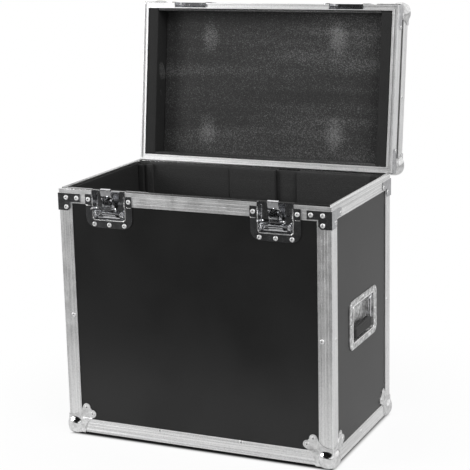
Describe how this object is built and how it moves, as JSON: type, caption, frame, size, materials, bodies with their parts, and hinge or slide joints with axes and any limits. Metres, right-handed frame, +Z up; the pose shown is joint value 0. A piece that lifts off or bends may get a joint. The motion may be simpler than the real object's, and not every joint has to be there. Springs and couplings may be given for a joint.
{
  "type": "flight case",
  "caption": "Foam-lined plywood flight case with slotted aluminium edges, ball corners, recessed side handles, recessed butterfly latches and a hinged lid that stands open.",
  "frame": {"origin": "middle of the case's footprint, with the open lid, on the surface that its ball corners stand on", "axes": "+Z up, -Y out of the front face with the latches, +X to the right as seen from the front"},
  "size_m": [0.6362, 0.5282, 0.9169],
  "materials": {
    "laminated_plywood": "matte",
    "edge_extrusion": "satin",
    "plated_steel": "satin",
    "bright_steel": "polished",
    "grip_rubber": "matte",
    "lining_foam": "matte"
  },
  "bodies": {
    "base": {"base_panel_front": "laminated_plywood", "base_panel_back": "laminated_plywood", "base_panel_left": "laminated_plywood", "base_panel_right": "laminated_plywood", "base_panel_floor": "laminated_plywood", "upright_front_left": "edge_extrusion", "upright_front_right": "edge_extrusion", "upright_back_left": "edge_extrusion", "upright_back_right": "edge_extrusion", "floor_edge_front": "edge_extrusion", "floor_edge_back": "edge_extrusion", "floor_edge_left": "edge_extrusion", "floor_edge_right": "edge_extrusion", "base_rim": "edge_extrusion", "base_ball_corner_front_left": "plated_steel", "base_ball_corner_front_right": "plated_steel", "base_ball_corner_back_left": "plated_steel", "base_ball_corner_back_right": "plated_steel", "latch_dish_left": "plated_steel", "latch_dish_right": "plated_steel", "latch_spring_left": "bright_steel", "latch_spring_right": "bright_steel", "handle_dish_left": "plated_steel", "handle_dish_right": "plated_steel", "hinge_base_leaf_left": "plated_steel", "hinge_base_leaf_right": "plated_steel", "base_foam_walls": "lining_foam", "base_foam_floor": "lining_foam"},
    "lid": {"lid_panel_top": "laminated_plywood", "lid_panel_front": "laminated_plywood", "lid_panel_back": "laminated_plywood", "lid_panel_left": "laminated_plywood", "lid_panel_right": "laminated_plywood", "lid_edge_front": "edge_extrusion", "lid_edge_back": "edge_extrusion", "lid_edge_left": "edge_extrusion", "lid_edge_right": "edge_extrusion", "lid_rim": "edge_extrusion", "lid_ball_corner_front_left": "plated_steel", "lid_ball_corner_front_right": "plated_steel", "lid_ball_corner_back_left": "plated_steel", "lid_ball_corner_back_right": "plated_steel", "keeper_left": "plated_steel", "keeper_right": "plated_steel", "hinge_lid_leaf_left": "plated_steel", "hinge_lid_leaf_right": "plated_steel", "lid_foam": "lining_foam"},
    "carriage_left": {"latch_carriage_left": "plated_steel"},
    "carriage_right": {"latch_carriage_right": "plated_steel"},
    "claw_left": {"latch_claw_left": "bright_steel"},
    "claw_right": {"latch_claw_right": "bright_steel"},
    "spindle_left": {"latch_spindle_left": "bright_steel"},
    "spindle_right": {"latch_spindle_right": "bright_steel"},
    "wing_left": {"latch_wing_left": "bright_steel"},
    "wing_right": {"latch_wing_right": "bright_steel"},
    "handle_left": {"handle_bail_left": "bright_steel", "handle_grip_left": "grip_rubber"},
    "handle_right": {"handle_bail_right": "bright_steel", "handle_grip_right": "grip_rubber"}
  },
  "joints": [
    {"name": "lid_hinge", "type": "hinge", "parent": "base", "child": "lid", "pos_m": [0, 0.13298, 0.55012], "axis": [1, 0, 0], "range_deg": [0, 97.4]},
    {"name": "tilt_left", "type": "hinge", "parent": "base", "child": "carriage_left", "pos_m": [-0.19, -0.23382, 0.50512], "axis": [-1, 0, 0], "range_deg": [0, 17], "stiffness_Nm_per_rad": 0.4, "springref_deg": -17.19},
    {"name": "tilt_right", "type": "hinge", "parent": "base", "child": "carriage_right", "pos_m": [0.19, -0.23382, 0.50512], "axis": [-1, 0, 0], "range_deg": [0, 17], "stiffness_Nm_per_rad": 0.4, "springref_deg": -17.19},
    {"name": "turn_left", "type": "hinge", "parent": "carriage_left", "child": "spindle_left", "pos_m": [-0.19, -0.24007, 0.5283], "axis": [0, -0.9563, -0.2924], "range_deg": [0, 180]},
    {"name": "turn_right", "type": "hinge", "parent": "carriage_right", "child": "spindle_right", "pos_m": [0.19, -0.24007, 0.5283], "axis": [0, -0.9563, -0.2924], "range_deg": [0, 180]},
    {"name": "lift_left", "type": "slide", "parent": "carriage_left", "child": "claw_left", "axis": [0, -0.2924, 0.9563], "range_m": [0, 0.006]},
    {"name": "lift_right", "type": "slide", "parent": "carriage_right", "child": "claw_right", "axis": [0, -0.2924, 0.9563], "range_m": [0, 0.006]},
    {"name": "fold_left", "type": "hinge", "parent": "spindle_left", "child": "wing_left", "pos_m": [-0.19, -0.24009, 0.5215], "axis": [-1, 0, 0], "range_deg": [0, 75]},
    {"name": "fold_right", "type": "hinge", "parent": "spindle_right", "child": "wing_right", "pos_m": [0.19, -0.24009, 0.5215], "axis": [-1, 0, 0], "range_deg": [0, 75]},
    {"name": "swing_left", "type": "hinge", "parent": "base", "child": "handle_left", "pos_m": [-0.304, -0.04752, 0.30912], "axis": [0, 1, 0], "range_deg": [0, 90]},
    {"name": "swing_right", "type": "hinge", "parent": "base", "child": "handle_right", "pos_m": [0.304, -0.04752, 0.30912], "axis": [0, -1, 0], "range_deg": [0, 90]}
  ],
  "couplings": [
    {"joint": "lift_left", "follows": "turn_left", "m_per_rad": 0.0019099},
    {"joint": "lift_right", "follows": "turn_right", "m_per_rad": 0.0019099}
  ]
}
